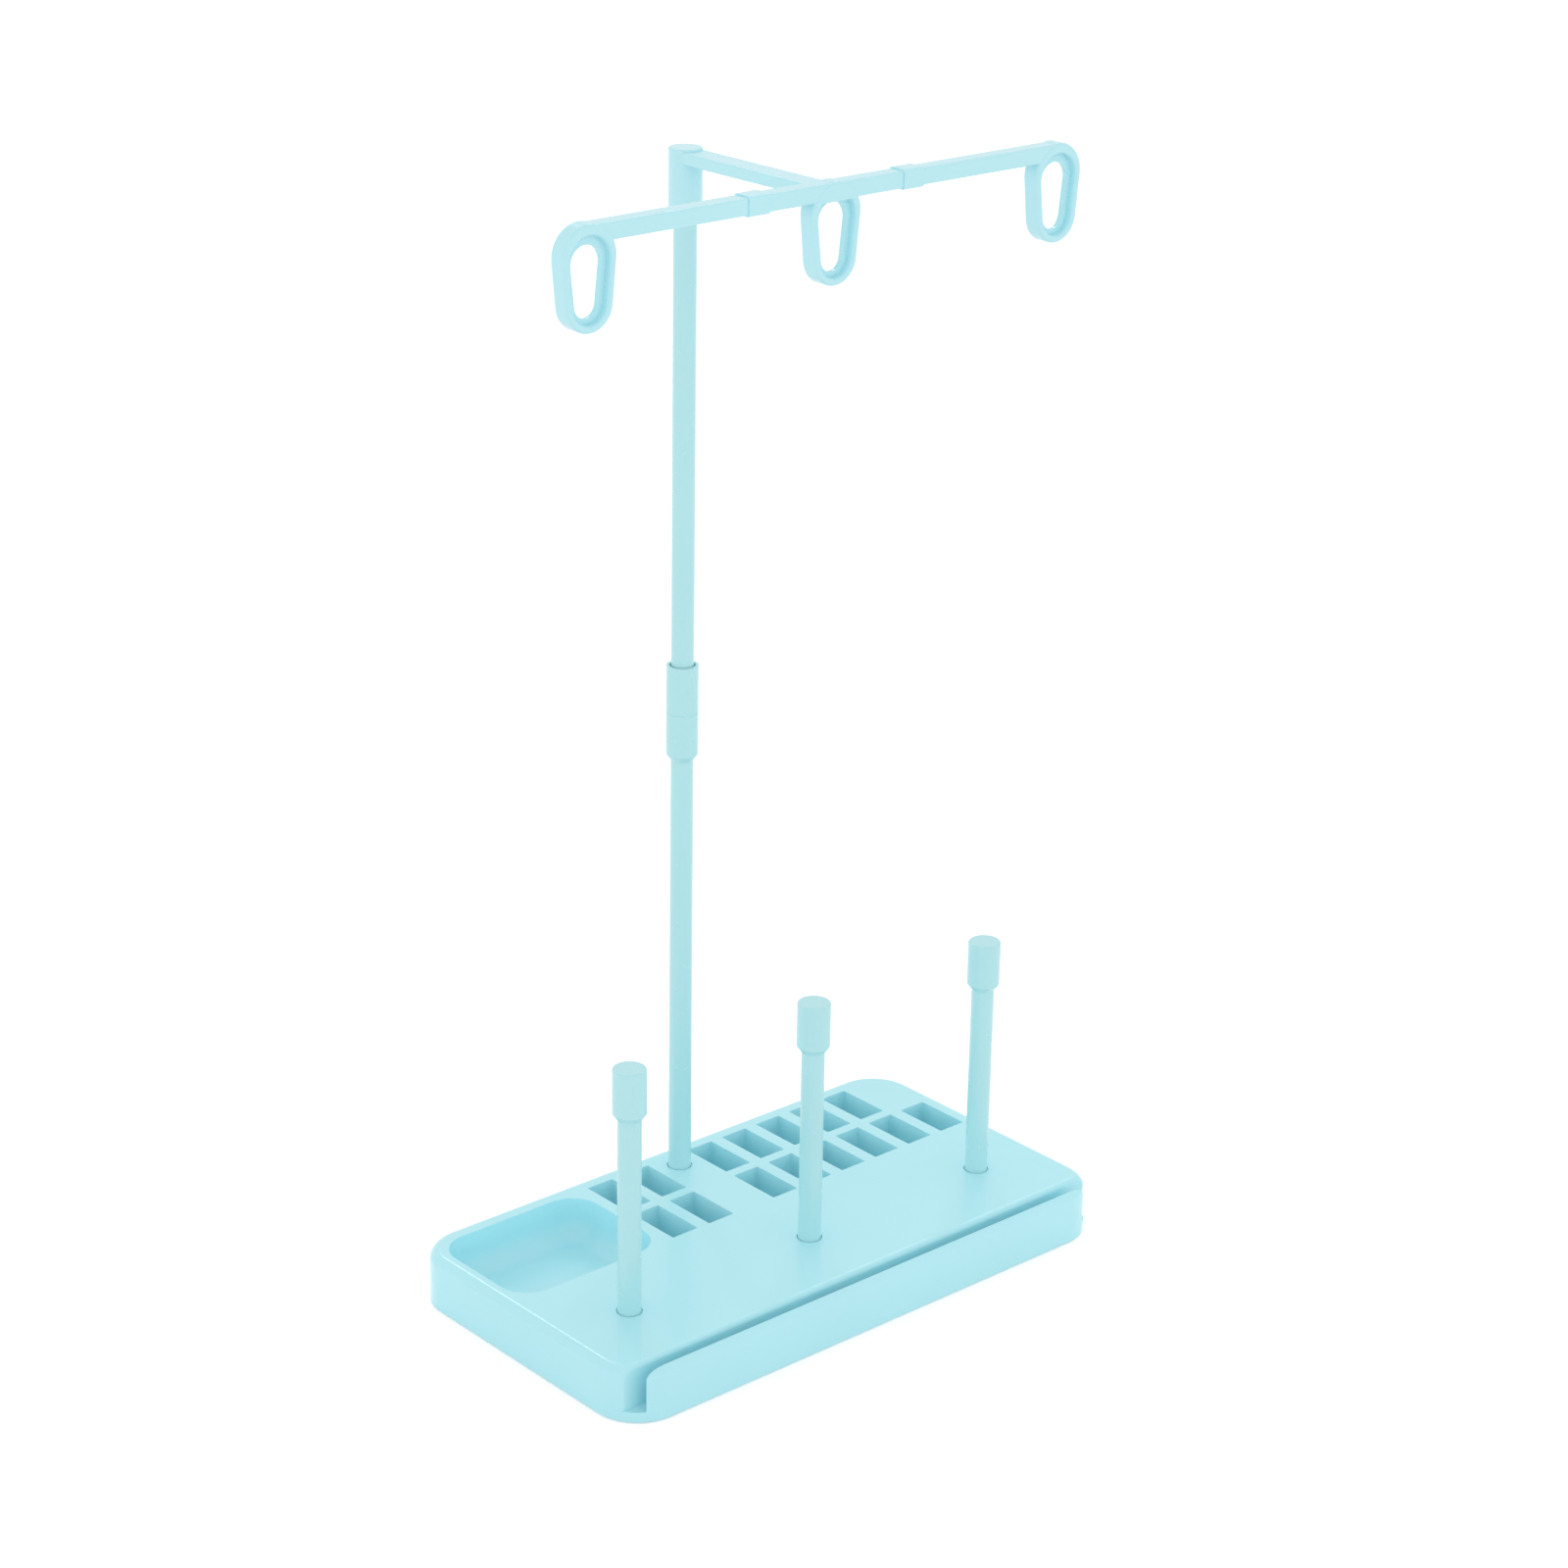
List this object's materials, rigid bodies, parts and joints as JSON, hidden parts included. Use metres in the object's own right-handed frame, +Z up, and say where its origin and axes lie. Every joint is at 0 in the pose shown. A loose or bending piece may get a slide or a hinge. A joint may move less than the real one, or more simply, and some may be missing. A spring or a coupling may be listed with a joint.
{
  "type": "thread rack",
  "caption": "Free-standing thread rack: moulded base with capped spool pins, bobbin slots, a tray and a front groove, and a tall jointed pole that carries a looped thread guide.",
  "frame": {"origin": "on the table, under the middle of the base", "axes": "+X along the base's long side, tray at -X; +Y to the back, where the pole stands; +Z up"},
  "size_m": [0.234, 0.1286, 0.4167],
  "materials": {
    "base_plastic": "glossy moulded, light aqua",
    "rod_plastic": "glossy moulded, light aqua",
    "guide_plastic": "glossy moulded, light aqua",
    "pad_rubber": "matt, pale grey"
  },
  "bodies": {
    "base": {"base_shell": "base_plastic", "foot_pad_front_left": "pad_rubber", "foot_pad_front_right": "pad_rubber", "foot_pad_rear_left": "pad_rubber", "foot_pad_rear_right": "pad_rubber"},
    "lower_pole": {"lower_pole": "rod_plastic", "pole_coupler": "rod_plastic"},
    "upper_pole": {"upper_pole": "rod_plastic"},
    "guide_bracket": {"guide_bracket": "guide_plastic"},
    "left_guide_arm": {"left_guide_arm": "guide_plastic"},
    "right_guide_arm": {"right_guide_arm": "guide_plastic"},
    "spool_pin_left": {"spool_pin_left": "rod_plastic"},
    "spool_pin_cap_left": {"spool_pin_cap_left": "rod_plastic"},
    "spool_pin_middle": {"spool_pin_middle": "rod_plastic"},
    "spool_pin_cap_middle": {"spool_pin_cap_middle": "rod_plastic"},
    "spool_pin_right": {"spool_pin_right": "rod_plastic"},
    "spool_pin_cap_right": {"spool_pin_cap_right": "rod_plastic"}
  },
  "joints": [
    {"name": "lower_pole_lift", "type": "slide", "parent": "base", "child": "lower_pole", "axis": [0, 0, 1], "range_m": [0, 0.015]},
    {"name": "upper_pole_lift", "type": "slide", "parent": "lower_pole", "child": "upper_pole", "axis": [0, 0, 1], "range_m": [0, 0.0178]},
    {"name": "guide_swivel", "type": "hinge", "parent": "upper_pole", "child": "guide_bracket", "pos_m": [0, 0.0497, 0.4], "axis": [0, 0, 1], "continuous": true},
    {"name": "left_arm_pull", "type": "slide", "parent": "guide_bracket", "child": "left_guide_arm", "axis": [-1, 0, 0], "range_m": [0, 0.008]},
    {"name": "right_arm_pull", "type": "slide", "parent": "guide_bracket", "child": "right_guide_arm", "axis": [1, 0, 0], "range_m": [0, 0.008]},
    {"name": "left_pin_lift", "type": "slide", "parent": "base", "child": "spool_pin_left", "axis": [0, 0, 1], "range_m": [0, 0.0145]},
    {"name": "left_cap_lift", "type": "slide", "parent": "spool_pin_left", "child": "spool_pin_cap_left", "axis": [0, 0, 1], "range_m": [0, 0.0168]},
    {"name": "middle_pin_lift", "type": "slide", "parent": "base", "child": "spool_pin_middle", "axis": [0, 0, 1], "range_m": [0, 0.0145]},
    {"name": "middle_cap_lift", "type": "slide", "parent": "spool_pin_middle", "child": "spool_pin_cap_middle", "axis": [0, 0, 1], "range_m": [0, 0.0168]},
    {"name": "right_pin_lift", "type": "slide", "parent": "base", "child": "spool_pin_right", "axis": [0, 0, 1], "range_m": [0, 0.0145]},
    {"name": "right_cap_lift", "type": "slide", "parent": "spool_pin_right", "child": "spool_pin_cap_right", "axis": [0, 0, 1], "range_m": [0, 0.0168]}
  ]
}
